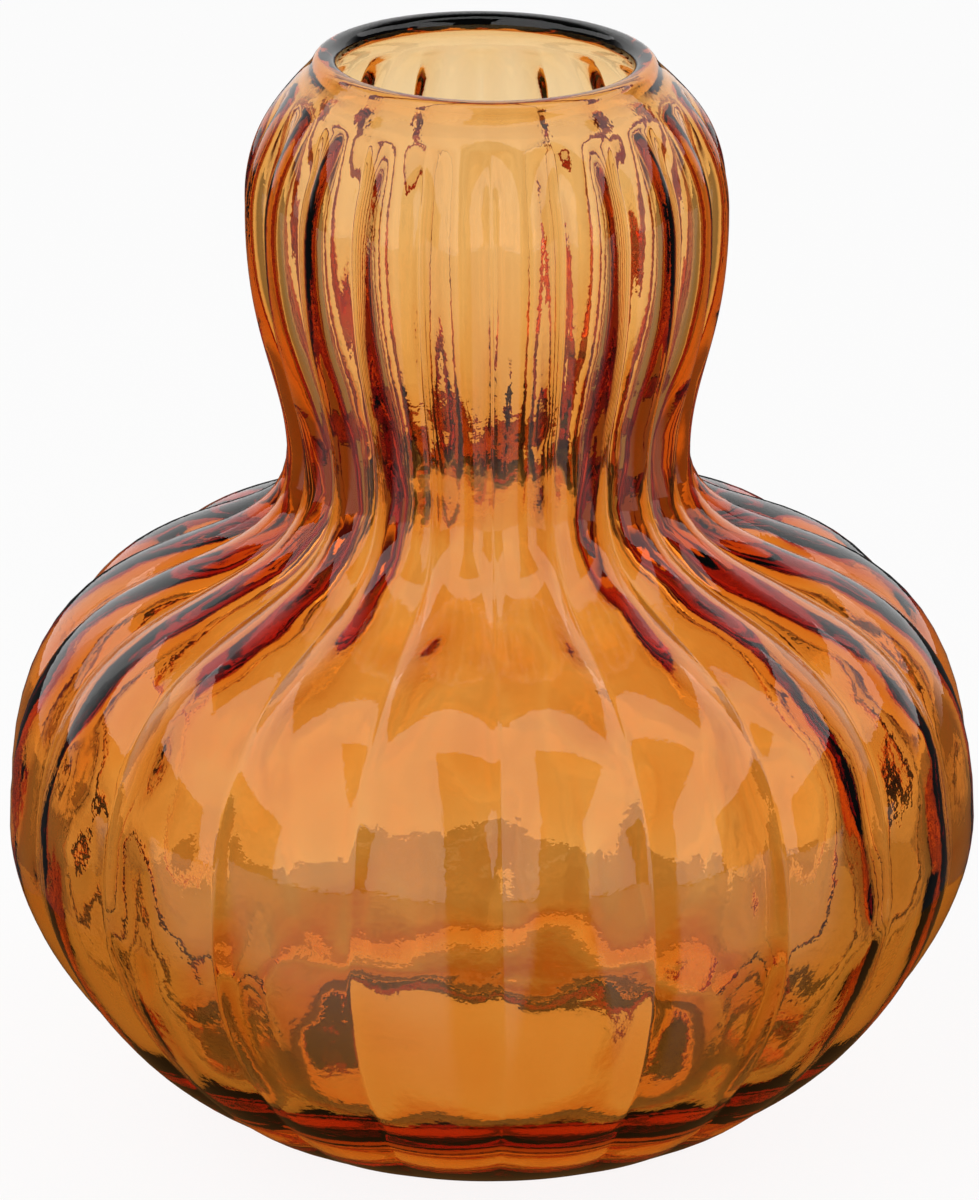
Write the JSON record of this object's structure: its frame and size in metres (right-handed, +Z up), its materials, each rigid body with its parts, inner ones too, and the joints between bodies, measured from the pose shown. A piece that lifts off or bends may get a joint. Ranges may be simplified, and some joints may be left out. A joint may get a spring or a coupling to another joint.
{
  "type": "gourd vase",
  "caption": "Gourd-shaped vase of clear amber glass with a ribbed round belly, a narrow waist, a smaller upper bulb and an open rounded mouth; holds water and cut stems.",
  "frame": {"origin": "centre of the foot, on the plane that the vase stands on", "axes": "+Z up along the axis of the vase; -Y is the front, where one crease between two gores faces the viewer"},
  "size_m": [0.1806, 0.1806, 0.207],
  "materials": {
    "amber_glass": "clear, tinted through, fire-polished"
  },
  "bodies": {
    "root": {"glass_body": "amber_glass"}
  },
  "joints": []
}
